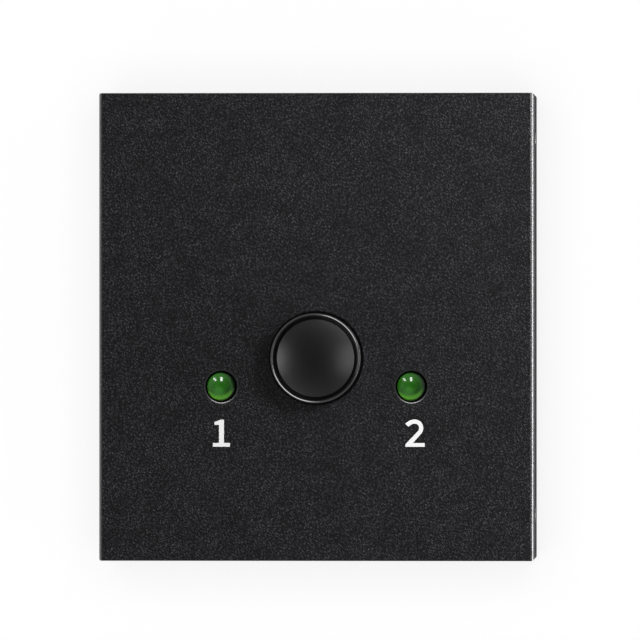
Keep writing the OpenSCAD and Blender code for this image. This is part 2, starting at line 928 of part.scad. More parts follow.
module power_diodes() {
    strap_end = 0.5;
    strap = [diode[0] + 2 * strap_end, 0.9, 0.25];
    color("#1d1e20")
        for (p = PORTS)
            at_port(p)
                translate([0, diode_y, 0]) {
                    block(diode);
                    block(strap);
                }
}

// A chip part: a body between two plated ends, which are a little thicker
module passive_part() {
    end = [0.35, passive[1], passive[2]];
    plate = 0.04;
    block([passive[0], passive[1] - 2 * plate, passive[2] - plate]);
    for (x = sides)
        translate([x * (passive[0] - end[0]) / 2, 0, 0])
            block(end);
}

module passive_row(y) {
    for (i = [0:passive_row_n - 1])
        translate([(i - (passive_row_n - 1) / 2) * passive_spacing, chip_y + y, board_top])
            passive_part();
}

module capacitors() {
    color("#b89a73")
        passive_row(passive_offset);
}

module resistors() {
    color("#2a2b2e")
        passive_row(-passive_offset);
}

// Feet

module foot() {
    edge_r = foot_h / 3;
    draft = 0.3;
    r = foot_d / 2;
    color("#18181a")
        rotate_extrude()
            intersection() {
                union() {
                    square([r - draft - edge_r, foot_h]);
                    translate([r - draft - edge_r, edge_r])
                        circle(edge_r);
                    polygon([[0, edge_r], [r - draft, edge_r], [r, foot_h], [0, foot_h]]);
                }
                square([foot_d, foot_h]);
            }
}

function wanted(name) = node == "all" || node == name;

if (wanted("base_tray")) base_tray();
if (wanted("top_cover")) top_cover();
if (wanted("cover_screws")) cover_screws();
if (wanted("board_posts")) board_posts();
if (wanted("board_screws")) board_screws();
if (wanted("circuit_board")) circuit_board();
for (p = PORTS) {
    if (wanted(str("socket_", p[0], "_shell"))) at_port(p) socket_shell();
    if (wanted(str("socket_", p[0], "_tongue"))) at_port(p) socket_tongue();
    if (wanted(str("socket_", p[0], "_contacts"))) at_port(p) socket_contacts();
}
if (wanted("switch_housing")) switch_housing();
if (wanted("switch_terminals")) switch_terminals();
if (wanted("latch_wire")) latch_wire();
if (wanted("return_spring")) return_spring();
if (wanted("switch_plunger")) switch_plunger();
if (wanted("bridge_contacts")) bridge_contacts();
if (wanted("button_cap")) button_cap();
for (l = LAMPS) {
    if (wanted(str("lamp_", l[0], "_lens"))) translate([l[1], 0, 0]) lamp_lens();
    if (wanted(str("lamp_", l[0], "_leads"))) translate([l[1], 0, 0]) lamp_leads();
    if (wanted(str("lamp_", l[0], "_spacer"))) translate([l[1], 0, 0]) lamp_spacer();
}
if (wanted("video_switch_chip")) video_switch_chip();
if (wanted("surge_arrays")) surge_arrays();
if (wanted("power_diodes")) power_diodes();
if (wanted("capacitors")) capacitors();
if (wanted("resistors")) resistors();
for (f = FEET)
    if (wanted(str("foot_", f[0]))) translate([f[1] * foot_x, f[2] * foot_y, 0]) foot();
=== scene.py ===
import json
import math

import bmesh
import bpy
from mathutils import Matrix, Vector

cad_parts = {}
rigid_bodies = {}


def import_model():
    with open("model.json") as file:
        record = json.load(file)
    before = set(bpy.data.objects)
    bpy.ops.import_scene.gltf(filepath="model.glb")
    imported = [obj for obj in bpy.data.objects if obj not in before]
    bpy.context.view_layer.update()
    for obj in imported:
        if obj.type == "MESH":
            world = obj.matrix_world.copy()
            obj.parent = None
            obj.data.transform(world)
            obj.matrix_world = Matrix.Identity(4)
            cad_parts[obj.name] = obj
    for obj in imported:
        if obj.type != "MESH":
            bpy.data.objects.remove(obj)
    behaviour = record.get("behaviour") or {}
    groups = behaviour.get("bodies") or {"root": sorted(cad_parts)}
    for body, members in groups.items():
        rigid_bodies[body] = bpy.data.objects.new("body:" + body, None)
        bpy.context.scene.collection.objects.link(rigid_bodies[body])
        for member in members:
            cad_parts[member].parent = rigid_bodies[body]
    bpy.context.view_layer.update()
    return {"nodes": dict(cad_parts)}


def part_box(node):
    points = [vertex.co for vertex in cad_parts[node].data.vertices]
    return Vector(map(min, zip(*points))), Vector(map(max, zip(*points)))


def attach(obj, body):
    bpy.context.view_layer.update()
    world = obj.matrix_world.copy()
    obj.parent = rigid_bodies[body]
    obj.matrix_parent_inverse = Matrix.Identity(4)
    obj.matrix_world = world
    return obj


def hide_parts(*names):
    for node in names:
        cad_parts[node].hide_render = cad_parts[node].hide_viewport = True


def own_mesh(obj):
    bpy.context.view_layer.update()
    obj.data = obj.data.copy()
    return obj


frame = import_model()

# Base tray: a steel sheet folded up at both ends, with four ears bent back for the cover's screws.
# It is powder coated after folding, so one fine grain runs over its faces and round its bends.
mm = 0.001


def linear(colour):
    """An sRGB hex colour as linear red, green, blue and alpha."""
    parts = [int(colour[i:i + 2], 16) / 255 for i in (1, 3, 5)]
    return [p / 12.92 if p <= 0.04045 else ((p + 0.055) / 1.055) ** 2.4 for p in parts] + [1]


def new_material(name):
    """An empty material; returns it with its node tree."""
    made = bpy.data.materials.new(name)
    made.use_nodes = True
    made.node_tree.nodes.clear()
    return made, made.node_tree


def add_node(tree, kind, inputs=None, **settings):
    """Adds a shader node with its settings; an input takes a value, a node or a node's output."""
    made = tree.nodes.new("ShaderNode" + kind)
    for name, value in settings.items():
        setattr(made, name, value)
    for name, value in (inputs or {}).items():
        if isinstance(value, bpy.types.Node):
            value = value.outputs[0]
        if isinstance(value, bpy.types.NodeSocket):
            tree.links.new(value, made.inputs[name])
        else:
            made.inputs[name].default_value = value
    return made


def dress(finish, *names):
    """Gives these solids of the frame a finish."""
    for name in names:
        frame["nodes"][name].data.materials[0] = finish


# Black powder coat: it melts into a fine peel, drawn as a bump whose short flecks lie one way. Its colour is
# painted darker in the peel's hollows as painted shade, and paler on its crests as pale painted glints.
# The real grain is near 0.1 mm, and is drawn a little coarser so that it shows.
peel_grain = 0.12 * mm
peel_depth = 0.012 * mm
patch_size = 2.4 * mm
lie = math.radians(-45)
lie_stretch = 2.4
powder_coat, tree = new_material("powder_coated_steel_fine_grain")
place = add_node(tree, "TexCoord").outputs["Object"]
lying = add_node(
    tree, "Mapping", {"Vector": place, "Rotation": (0, 0, lie), "Scale": (lie_stretch, 1, 1)},
    vector_type="TEXTURE")
peel = add_node(tree, "TexNoise", {"Vector": lying, "Scale": 1 / peel_grain, "Detail": 0})
patch = add_node(tree, "TexNoise", {"Vector": place, "Scale": 1 / patch_size, "Detail": 2})
# Painted shade in the peel's hollows and painted glints on its crests, taken from the same noise as the bump
# and set in random patches.
painted_hollow_shade = add_node(tree, "MapRange", {"Value": peel, "From Min": 0.25, "From Max": 0.6})
crest = add_node(tree, "MapRange", {"Value": peel, "From Min": 0.55, "From Max": 0.85})
patchy = add_node(tree, "MapRange", {"Value": patch, "From Min": 0.35, "From Max": 0.65, "To Min": 0.65})
painted_glint = add_node(tree, "Math", {0: crest, 1: patchy}, operation="MULTIPLY")
coat_body = add_node(
    tree, "MixRGB", {"Fac": painted_hollow_shade, "Color1": linear("#020203"), "Color2": linear("#0c0c0e")})
# The pale painted glints laid over the coat's body.
coat_colour = add_node(tree, "MixRGB", {"Fac": painted_glint, "Color1": coat_body, "Color2": linear("#48484d")})
coat_bump = add_node(tree, "Bump", {"Height": peel, "Strength": 1, "Distance": peel_depth})
coat_rough = add_node(tree, "MapRange", {"Value": patch, "To Min": 0.28, "To Max": 0.34})
shader = add_node(tree, "BsdfPrincipled", {
    "Base Color": coat_colour, "Roughness": coat_rough, "Specular IOR Level": 0.6, "Normal": coat_bump})
add_node(tree, "OutputMaterial", {"Surface": shader})
dress(powder_coat, "base_tray")

# Feet: four pads of moulded black rubber, stuck under the tray near its corners.
# Rubber is matt and a little dusty, with the fine spark-eroded grain of its mould.
rubber_grain = 0.18 * mm
dust_size = 2.5 * mm
rubber, tree = new_material("moulded_rubber_matt")
place = add_node(tree, "TexCoord").outputs["Object"]
grit = add_node(tree, "TexNoise", {"Vector": place, "Scale": 1 / rubber_grain, "Detail": 3})
dust = add_node(tree, "TexNoise", {"Vector": place, "Scale": 1 / dust_size, "Detail": 4})
rubber_colour = add_node(
    tree, "MixRGB", {"Fac": dust, "Color1": linear("#0f0f10"), "Color2": linear("#262626")})
rubber_rough = add_node(tree, "MapRange", {"Value": dust, "To Min": 0.7, "To Max": 0.95})
rubber_bump = add_node(tree, "Bump", {"Height": grit, "Strength": 0.5, "Distance": 0.03 * mm})
shader = add_node(tree, "BsdfPrincipled", {
    "Base Color": rubber_colour, "Roughness": rubber_rough, "Specular IOR Level": 0.3, "Normal": rubber_bump})
add_node(tree, "OutputMaterial", {"Surface": shader})
dress(rubber, "foot_front_left", "foot_front_right", "foot_back_left", "foot_back_right")

# Posts and screws: turned steel posts pressed into the tray, and pan-head screws that hold the board on them.
# Both are zinc plated, so they are bright, faintly blue and a little cloudy, with fine turning marks.
turning_mark = 0.08 * mm
cloud_size = 0.8 * mm
zinc, tree = new_material("zinc_plated_steel_turned")
place = add_node(tree, "TexCoord").outputs["Object"]
marks_place = add_node(tree, "Mapping", {"Vector": place, "Scale": (0.1, 0.1, 1)})
marks = add_node(tree, "TexNoise", {"Vector": marks_place, "Scale": 1 / turning_mark, "Detail": 2})
cloud = add_node(tree, "TexNoise", {"Vector": place, "Scale": 1 / cloud_size, "Detail": 3})
zinc_colour = add_node(
    tree, "MixRGB", {"Fac": cloud, "Color1": linear("#9a9fa6"), "Color2": linear("#d4d8dc")})
zinc_rough = add_node(tree, "MapRange", {"Value": cloud, "To Min": 0.22, "To Max": 0.42})
zinc_bump = add_node(tree, "Bump", {"Height": marks, "Strength": 0.4, "Distance": 0.01 * mm})
shader = add_node(tree, "BsdfPrincipled", {
    "Base Color": zinc_colour, "Metallic": 1, "Roughness": zinc_rough, "Normal": zinc_bump})
add_node(tree, "OutputMaterial", {"Surface": shader})
dress(zinc, "board_posts", "board_screws")

# Circuit board: glass cloth in epoxy under green solder mask, held on the posts by its four screws.
# The weave shows faintly through the mask, and the copper under it makes paler bands.
weave = 0.5 * mm
track = 0.9 * mm
board_mask, tree = new_material("solder_mask_on_glass_epoxy")
place = add_node(tree, "TexCoord").outputs["Object"]
cloth = add_node(tree, "TexChecker", {"Vector": place, "Scale": 1 / weave})
copper = add_node(
    tree, "TexWave", {
        "Vector": place, "Scale": 1 / (2 * track), "Distortion": 6, "Detail Scale": 1 / (8 * track)},
    bands_direction="DIAGONAL")
under_mask = add_node(tree, "MapRange", {"Value": copper.outputs["Fac"], "From Min": 0.55, "From Max": 0.62})
mask_colour = add_node(
    tree, "MixRGB", {"Fac": under_mask, "Color1": linear("#0b3f22"), "Color2": linear("#17653a")})
mask_rough = add_node(tree, "MapRange", {"Value": cloth.outputs["Fac"], "To Min": 0.28, "To Max": 0.36})
mask_bump = add_node(tree, "Bump", {"Height": under_mask, "Strength": 0.5, "Distance": 0.035 * mm})
shader = add_node(tree, "BsdfPrincipled", {
    "Base Color": mask_colour, "Roughness": mask_rough, "Normal": mask_bump})
add_node(tree, "OutputMaterial", {"Surface": shader})
dress(board_mask, "circuit_board")

# Sockets: a shell stamped from nickel-plated sheet steel, round a moulded insulator with nineteen contacts.
# Two channel sockets stand at the front of the board and the shared one at the back, soldered by their tabs.
PORTS = ("1", "2", "common")
drawn_line = 0.06 * mm
nickel, tree = new_material("nickel_plated_steel_stamped")
place = add_node(tree, "TexCoord").outputs["Object"]
drawn = add_node(tree, "Mapping", {"Vector": place, "Scale": (1, 0.04, 1)})
lines = add_node(tree, "TexNoise", {"Vector": drawn, "Scale": 1 / drawn_line, "Detail": 2})
cloud = add_node(tree, "TexNoise", {"Vector": place, "Scale": 1 / cloud_size, "Detail": 3})
nickel_colour = add_node(
    tree, "MixRGB", {"Fac": cloud, "Color1": linear("#a9a79f"), "Color2": linear("#d8d6cf")})
nickel_rough = add_node(tree, "MapRange", {"Value": lines, "To Min": 0.2, "To Max": 0.4})
nickel_bump = add_node(tree, "Bump", {"Height": lines, "Strength": 0.3, "Distance": 0.01 * mm})
shader = add_node(tree, "BsdfPrincipled", {
    "Base Color": nickel_colour, "Metallic": 1, "Roughness": nickel_rough, "Normal": nickel_bump})
add_node(tree, "OutputMaterial", {"Surface": shader})

# Black glass-filled polymer: semi-matt, with paler streaks where the melt flowed along the tongue.
flow_size = 0.7 * mm
insulator, tree = new_material("glass_filled_polymer_moulded")
place = add_node(tree, "TexCoord").outputs["Object"]
flow_place = add_node(tree, "Mapping", {"Vector": place, "Scale": (1, 0.25, 1)})
flow = add_node(tree, "TexNoise", {"Vector": flow_place, "Scale": 1 / flow_size, "Detail": 5})
insulator_colour = add_node(
    tree, "MixRGB", {"Fac": flow, "Color1": linear("#0b0b0c"), "Color2": linear("#242426")})
insulator_rough = add_node(tree, "MapRange", {"Value": flow, "To Min": 0.4, "To Max": 0.6})
insulator_bump = add_node(tree, "Bump", {"Height": flow, "Strength": 0.25, "Distance": 0.02 * mm})
shader = add_node(tree, "BsdfPrincipled", {
    "Base Color": insulator_colour, "Roughness": insulator_rough, "Normal": insulator_bump})
add_node(tree, "OutputMaterial", {"Surface": shader})

# Gold flash on bronze: warm and bright, thinner and redder where a plug has wiped along the contact.
wipe_size = 0.5 * mm
gold, tree = new_material("gold_flash_on_bronze")
place = add_node(tree, "TexCoord").outputs["Object"]
wipe_place = add_node(tree, "Mapping", {"Vector": place, "Scale": (1, 0.2, 1)})
wipe = add_node(tree, "TexNoise", {"Vector": wipe_place, "Scale": 1 / wipe_size, "Detail": 3})
gold_colour = add_node(
    tree, "MixRGB", {"Fac": wipe, "Color1": linear("#c4924a"), "Color2": linear("#e6c478")})
gold_rough = add_node(tree, "MapRange", {"Value": wipe, "To Min": 0.18, "To Max": 0.34})
shader = add_node(tree, "BsdfPrincipled", {"Base Color": gold_colour, "Metallic": 1, "Roughness": gold_rough})
add_node(tree, "OutputMaterial", {"Surface": shader})
for port in PORTS:
    dress(nickel, f"socket_{port}_shell")
    dress(insulator, f"socket_{port}_tongue")
    dress(gold, f"socket_{port}_contacts")

# Small board parts: the switching chip, the surge arrays and the diodes in black moulded epoxy.
# Moulded epoxy is dull, and sparkles faintly with its silica filler.
filler_size = 0.09 * mm
chip_epoxy, tree = new_material("silica_filled_epoxy_moulded")
place = add_node(tree, "TexCoord").outputs["Object"]
filler = add_node(tree, "TexVoronoi", {"Vector": place, "Scale": 1 / filler_size})
speck = add_node(tree, "MapRange", {"Value": filler.outputs["Distance"], "From Min": 0.1, "From Max": 0.4})
chip_colour = add_node(
    tree, "MixRGB", {"Fac": speck, "Color1": linear("#3a3b3e"), "Color2": linear("#1a1b1d")})
chip_rough = add_node(tree, "MapRange", {"Value": speck, "To Min": 0.45, "To Max": 0.65})
shader = add_node(tree, "BsdfPrincipled", {"Base Color": chip_colour, "Roughness": chip_rough})
add_node(tree, "OutputMaterial", {"Surface": shader})
dress(chip_epoxy, "video_switch_chip", "surge_arrays", "power_diodes")

# Chip capacitors and resistors: fired ceramic blocks, tan and near black, soldered by their plated ends.
# Fired ceramic is satin and finely mottled.
fired_mottle = 0.15 * mm
for node, name, dark, pale in (
        ("capacitors", "tan_ceramic_fired", "#9c7d57", "#c4a67e"),
        ("resistors", "black_glazed_ceramic", "#141416", "#333338")):
    ceramic, tree = new_material(name)
    place = add_node(tree, "TexCoord").outputs["Object"]
    mottle = add_node(tree, "TexNoise", {"Vector": place, "Scale": 1 / fired_mottle, "Detail": 3})
    ceramic_colour = add_node(tree, "MixRGB", {"Fac": mottle, "Color1": linear(dark), "Color2": linear(pale)})
    ceramic_rough = add_node(tree, "MapRange", {"Value": mottle, "To Min": 0.4, "To Max": 0.6})
    shader = add_node(tree, "BsdfPrincipled", {"Base Color": ceramic_colour, "Roughness": ceramic_rough})
    add_node(tree, "OutputMaterial", {"Surface": shader})
    dress(ceramic, node)

# Latching switch: a black moulded housing with tinned terminals, a white plunger with a heart cam,
# a bronze bridge on each side of it, a steel latch wire and a coil spring. It is soldered under the button.
# The lamps' tinned wires and black nylon spacers stand beside it on the board, and are finished here too.
surface_mottle = 0.4 * mm
for names, finish, dark, pale, metallic, shine in (
        (["switch_housing"], "nylon_moulded_black", "#0c0c0d", "#232325", 0, 0.45),
        (["switch_plunger"], "acetal_moulded_white", "#cfccc4", "#e9e7e1", 0, 0.35),
        (["switch_terminals"], "tinned_brass_stamped", "#b4b6b8", "#dcdee0", 1, 0.3),
        (["latch_wire", "return_spring"], "spring_steel_drawn", "#8d9197", "#c4c8cd", 1, 0.25),
        (["bridge_contacts"], "phosphor_bronze_stamped", "#a06f35", "#cf9c5b", 1, 0.3),
        (["lamp_1_leads", "lamp_2_leads"], "tinned_steel_wire", "#b0b3b6", "#dadcde", 1, 0.28),
        (["lamp_1_spacer", "lamp_2_spacer"], "nylon_turned_black", "#0d0d0e", "#262628", 0, 0.5)):
    made, tree = new_material(finish)
    place = add_node(tree, "TexCoord").outputs["Object"]
    mottle = add_node(tree, "TexNoise", {"Vector": place, "Scale": 1 / surface_mottle, "Detail": 4})
    colour = add_node(tree, "MixRGB", {"Fac": mottle, "Color1": linear(dark), "Color2": linear(pale)})
    rough = add_node(tree, "MapRange", {"Value": mottle, "To Min": shine - 0.08, "To Max": shine + 0.12})
    bump = add_node(tree, "Bump", {"Height": mottle, "Strength": 0.2, "Distance": 0.01 * mm})
    shader = add_node(tree, "BsdfPrincipled", {
        "Base Color": colour, "Metallic": metallic, "Roughness": rough, "Normal": bump})
    add_node(tree, "OutputMaterial", {"Surface": shader})
    dress(made, *names)

# Return spring: a coil of drawn spring steel, which stands on the switch housing's floor under the plunger.
# It is a copy of the solid, with its points welded and its coil shaded smooth.
weld = 0.001 * mm
coil_crease = math.radians(65)
bm = bmesh.new()
bm.from_mesh(frame["nodes"]["return_spring"].data)
bmesh.ops.remove_doubles(bm, verts=bm.verts, dist=weld)
mesh = bpy.data.meshes.new("return_spring_coil")
bm.to_mesh(mesh)
bm.free()
mesh.shade_smooth()
mesh.set_sharp_from_angle(angle=coil_crease)
mesh.materials.append(frame["nodes"]["return_spring"].data.materials[0])
coil = bpy.data.objects.new("return_spring_coil", mesh)
bpy.context.scene.collection.objects.link(coil)
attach(coil, "case")
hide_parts("return_spring")
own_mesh(coil)

# Lamps: solid domes of green tinted epoxy, cast with a flange and standing a little proud of the cover.
# The dome is polished. Its colour is painted with light and shade: a painted pale crescent near its front, a
# painted glow to the front left, painted shade at its right side and a painted dark ring round its edge.
# It is a shallower cap than the solid's half ball, with the same top, width and flange.
lens_d = 3.6 * mm
lens_rise = 0.7 * mm
lens_flange_h = 1.0 * mm
lens_steps = 64
dome_steps = 16
crease = math.radians(35)
swirl_size = 0.9 * mm
# Centres on the dome for the painted crescent, the painted dark ring and the painted glow.
painted_crescent_from = (-0.15, 0.68, 0)
painted_ring_from = (-0.12, 0, 0)
painted_glow_at = (-0.15, -0.35, 0)
domes = bpy.data.collections.new("lamp_domes")


def turned(name, profile, axis_at, steps=lens_steps):
    """Spins a profile bmesh, drawn in X and Z, about an upright axis into a closed piece."""
    bmesh.ops.spin(
        profile, geom=profile.verts[:] + profile.edges[:], cent=(0, 0, 0), axis=(0, 0, 1),
        angle=2 * math.pi, steps=steps, use_merge=True)
    bmesh.ops.remove_doubles(profile, verts=profile.verts, dist=weld)
    bmesh.ops.recalc_face_normals(profile, faces=profile.faces)
    bmesh.ops.translate(profile, verts=profile.verts, vec=axis_at)
    mesh = bpy.data.meshes.new(name)
    profile.to_mesh(mesh)
    profile.free()
    mesh.shade_smooth()
    mesh.set_sharp_from_angle(angle=crease)
    piece = bpy.data.objects.new(name, mesh)
    bpy.context.scene.collection.objects.link(piece)
    return piece


def profile_line(profile, start, *corners):
    """Draws lines from a profile vertex through these corners, in X and Z; returns the last vertex."""
    for x, z in corners:
        nxt = profile.verts.new((x, 0, z))
        profile.edges.new((start, nxt))
        start = nxt
    return start


for lamp in ("1", "2"):
    low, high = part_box(f"lamp_{lamp}_lens")
    centre = Vector(((low[0] + high[0]) / 2, (low[1] + high[1]) / 2, 0))
    flange_r = (high[0] - low[0]) / 2
    lens_r = lens_d / 2
    lens_ball = (lens_r ** 2 + lens_rise ** 2) / (2 * lens_rise)
    epoxy, tree = new_material(f"green_tinted_epoxy_cast_{lamp}")
    place = add_node(tree, "TexCoord").outputs["Object"]
    on_dome = add_node(
        tree, "Mapping", {"Vector": place, "Location": centre, "Scale": (lens_r, lens_r, 1)},
        vector_type="TEXTURE")
    flat = add_node(tree, "VectorMath", {0: on_dome, 1: (1, 1, 0)}, operation="MULTIPLY")
    from_back = add_node(tree, "VectorMath", {0: flat, 1: painted_crescent_from}, operation="DISTANCE")
    from_middle = add_node(tree, "VectorMath", {0: flat, 1: painted_ring_from}, operation="DISTANCE")
    from_painted_glow = add_node(tree, "VectorMath", {0: flat, 1: painted_glow_at}, operation="DISTANCE")
    across = add_node(tree, "SeparateXYZ", {0: flat})
    # Painted light: a pale crescent near the dome's front.
    front = add_node(
        tree, "MapRange", {"Value": from_back.outputs["Value"], "From Min": 1.15, "From Max": 1.6},
        interpolation_type="SMOOTHSTEP")
    # Painted shade: the dome's right side darker.
    side = add_node(tree, "MapRange", {"Value": across.outputs["X"], "From Min": 0.1, "From Max": 0.8})
    # Painted shade: a dark ring round the dome's edge.
    rim = add_node(
        tree, "MapRange", {"Value": from_middle.outputs["Value"], "From Min": 0.87, "From Max": 1.03})
    # Painted light: a paler glow towards the front left.
    painted_glow = add_node(
        tree, "MapRange", {
            "Value": from_painted_glow.outputs["Value"], "From Min": 0.55, "From Max": 0.1, "To Max": 0.7},
        interpolation_type="SMOOTHSTEP")
    swirl = add_node(tree, "TexNoise", {"Vector": place, "Scale": 1 / swirl_size, "Detail": 2})
    deep = add_node(tree, "MixRGB", {"Fac": swirl, "Color1": linear("#154208"), "Color2": linear("#205811")})
    # Painted shade to the right, the painted glow, the painted crescent and the painted dark ring, laid over
    # the epoxy's tint.
    deep = add_node(tree, "MixRGB", {"Fac": side, "Color1": deep, "Color2": linear("#0f3a06")})
    deep = add_node(tree, "MixRGB", {"Fac": painted_glow, "Color1": deep, "Color2": linear("#37702b")})
    lit = add_node(tree, "MixRGB", {"Fac": front, "Color1": deep, "Color2": linear("#5eb026")})
    lens_colour = add_node(tree, "MixRGB", {"Fac": rim, "Color1": lit, "Color2": linear("#061305")})
    shader = add_node(tree, "BsdfPrincipled", {
        "Base Color": lens_colour, "Roughness": 0.12, "Specular IOR Level": 0.25})
    add_node(tree, "OutputMaterial", {"Surface": shader})

    bm = bmesh.new()
    top = bm.verts.new((0, 0, high[2]))
    dome = bmesh.ops.spin(
        bm, geom=[top], cent=(0, 0, high[2] - lens_ball), axis=(0, 1, 0),
        angle=math.asin(lens_r / lens_ball), steps=dome_steps)
    shoulder = [v for v in dome["geom_last"] if isinstance(v, bmesh.types.BMVert)][0]
    profile_line(
        bm, shoulder, (lens_r, low[2] + lens_flange_h), (flange_r, low[2] + lens_flange_h),
        (flange_r, low[2]), (0, low[2]))
    lens = turned(f"lamp_{lamp}_dome", bm, centre)
    lens.data.materials.append(epoxy)
    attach(lens, "case")
    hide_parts(f"lamp_{lamp}_lens")
    domes.objects.link(lens)

# Button cap: moulded in black ABS and pushed on the switch's stem. Its top is dished for a fingertip,
# with a satin dish inside a polished rim; a flange under the cover keeps it in.
cap_low, cap_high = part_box("button_cap")
cap_axis = Vector(((cap_low[0] + cap_high[0]) / 2, (cap_low[1] + cap_high[1]) / 2, 0))
cap_r = 5.8 * mm
flange_r = (cap_high[0] - cap_low[0]) / 2
flange_h = 1.0 * mm
dish_r = 4.95 * mm
dish_sag = 0.5 * mm
dish_step = 0.85 * mm
rim_r = 0.36 * mm
rim_inside = 0.07 * mm
cap_steps = 128
dish_steps = 20
rim_steps = 16
dish_ball = (dish_r ** 2 + dish_sag ** 2) / (2 * dish_sag)
dish_edge_z = cap_high[2] - dish_step

bm = bmesh.new()
edge = bm.verts.new((dish_r, 0, dish_edge_z))
bmesh.ops.spin(
    bm, geom=[edge], cent=(0, 0, dish_edge_z - dish_sag + dish_ball), axis=(0, 1, 0),
    angle=math.asin(dish_r / dish_ball), steps=dish_steps)
over = math.asin(rim_inside / rim_r)
crest = profile_line(bm, edge, (cap_r - rim_r - rim_inside, cap_high[2] - rim_r * (1 - math.cos(over))))
rim = bmesh.ops.spin(
    bm, geom=[crest], cent=(cap_r - rim_r, 0, cap_high[2] - rim_r), axis=(0, 1, 0),
    angle=math.pi / 2 + over, steps=rim_steps)
skirt = [v for v in rim["geom_last"] if isinstance(v, bmesh.types.BMVert)][0]
profile_line(
    bm, skirt, (cap_r, cap_low[2] + flange_h), (flange_r, cap_low[2] + flange_h), (flange_r, cap_low[2]),
    (0, cap_low[2]))
cap = turned("button_cap_dished", bm, cap_axis, steps=cap_steps)

# Black ABS right through, with the faint even grain of its mould: etched satin in the dish, matt on the step
# round it, and polished on the rim and the skirt. The step's colour is also painted darker than the rest, as
# painted shade.
etch_grain = 0.12 * mm
for name, dark, pale, roughness, gloss in (
        ("abs_moulded_satin", "#030303", "#070707", 0.23, 0.55),
        # The step: matt, and painted darker as painted shade.
        ("abs_moulded_matt_painted_shade", "#010101", "#020202", 0.5, 0.05),
        ("abs_moulded_polished", "#030303", "#070707", 0.16, 0.8)):
    abs_black, tree = new_material(name)
    place = add_node(tree, "TexCoord").outputs["Object"]
    etch = add_node(tree, "TexNoise", {"Vector": place, "Scale": 1 / etch_grain, "Detail": 2})
    shade = add_node(tree, "MixRGB", {"Fac": etch, "Color1": linear(dark), "Color2": linear(pale)})
    rough = add_node(
        tree, "MapRange", {"Value": etch, "To Min": roughness - 0.03, "To Max": roughness + 0.03})
    shader = add_node(tree, "BsdfPrincipled", {
        "Base Color": shade, "Roughness": rough, "Specular IOR Level": gloss})
    add_node(tree, "OutputMaterial", {"Surface": shader})
    cap.data.materials.append(abs_black)
for face in cap.data.polygons:
    out = (face.center - cap_axis).to_2d().length
    on_top = face.center.z > dish_edge_z - dish_sag
    face.material_index = 2 if not on_top or out > cap_r - rim_r - rim_inside else 1 if out > dish_r else 0
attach(cap, "button")
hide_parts("button_cap")

# Cover: a steel sheet folded down at both sides, with holes for the button and the lamps.
# It has the tray's powder coat, and is screwed to the tray's ears.
dress(powder_coat, "top_cover")
face_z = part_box("top_cover")[1][2]

# Coat bead: where the powder melts over the sharp edge of a lamp's hole it gathers into a smooth rounded lip.
# The lip is the same black coat without its grain, so it is glossy and gleams on the side towards the light.
bead_r = 0.24 * mm
bead_out = 2.22 * mm
bead_proud = 0.004 * mm
bead_steps = 12
lump_size = 0.6 * mm
bead_coat, tree = new_material("powder_coat_flowed_smooth")
place = add_node(tree, "TexCoord").outputs["Object"]
lumps = add_node(tree, "TexNoise", {"Vector": place, "Scale": 1 / lump_size, "Detail": 2})
bead_colour = add_node(
    tree, "MixRGB", {"Fac": lumps, "Color1": linear("#020203"), "Color2": linear("#08080a")})
bead_rough = add_node(tree, "MapRange", {"Value": lumps, "To Min": 0.32, "To Max": 0.42})
shader = add_node(tree, "BsdfPrincipled", {
    "Base Color": bead_colour, "Roughness": bead_rough, "Specular IOR Level": 0.6})
add_node(tree, "OutputMaterial", {"Surface": shader})
beads = bpy.data.collections.new("coat_beads")
for lamp in ("1", "2"):
    low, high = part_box(f"lamp_{lamp}_lens")
    centre = Vector(((low[0] + high[0]) / 2, (low[1] + high[1]) / 2, 0))
    bm = bmesh.new()
    lip = bm.verts.new((bead_out, 0, face_z + bead_proud))
    rounded = bmesh.ops.spin(
        bm, geom=[lip], cent=(bead_out, 0, face_z + bead_proud - bead_r), axis=(0, -1, 0),
        angle=math.pi / 2, steps=bead_steps)
    inside = [v for v in rounded["geom_last"] if isinstance(v, bmesh.types.BMVert)][0]
    under = profile_line(bm, inside, (bead_out, face_z + bead_proud - bead_r))
    bm.edges.new((under, lip))
    bead = turned(f"lamp_{lamp}_coat_bead", bm, centre)
    bead.data.materials.append(bead_coat)
    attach(bead, "case")
    beads.objects.link(bead)

# Cover screws: flat-head screws in black zinc, sunk flush with the cover's sides.
# Black zinc is a thin dark film, so the steel still gleams through it.
film_size = 0.5 * mm
black_zinc, tree = new_material("black_zinc_plated_steel")
place = add_node(tree, "TexCoord").outputs["Object"]
film = add_node(tree, "TexNoise", {"Vector": place, "Scale": 1 / film_size, "Detail": 3})
film_colour = add_node(
    tree, "MixRGB", {"Fac": film, "Color1": linear("#1b1b1d"), "Color2": linear("#3a3a3e")})
film_rough = add_node(tree, "MapRange", {"Value": film, "To Min": 0.28, "To Max": 0.45})
shader = add_node(tree, "BsdfPrincipled", {
    "Base Color": film_colour, "Metallic": 0.8, "Roughness": film_rough})
add_node(tree, "OutputMaterial", {"Surface": shader})
dress(black_zinc, "cover_screws")

# Channel numbers: plain numerals screen printed in white under the two lamps.
# The ink lies as a thin film with slightly soft corners, and is a little uneven over the coat's grain.
ink_h = 0.02 * mm
ink_grain = 0.3 * mm
ink, tree = new_material("screen_ink_white")
place = add_node(tree, "TexCoord").outputs["Object"]
uneven = add_node(tree, "TexNoise", {"Vector": place, "Scale": 1 / ink_grain, "Detail": 2})
ink_colour = add_node(
    tree, "MixRGB", {"Fac": uneven, "Color1": linear("#f4f4f4"), "Color2": linear("#fcfcfc")})
shader = add_node(tree, "BsdfPrincipled", {
    "Base Color": ink_colour, "Roughness": 0.6, "Specular IOR Level": 0.3})
add_node(tree, "OutputMaterial", {"Surface": shader})


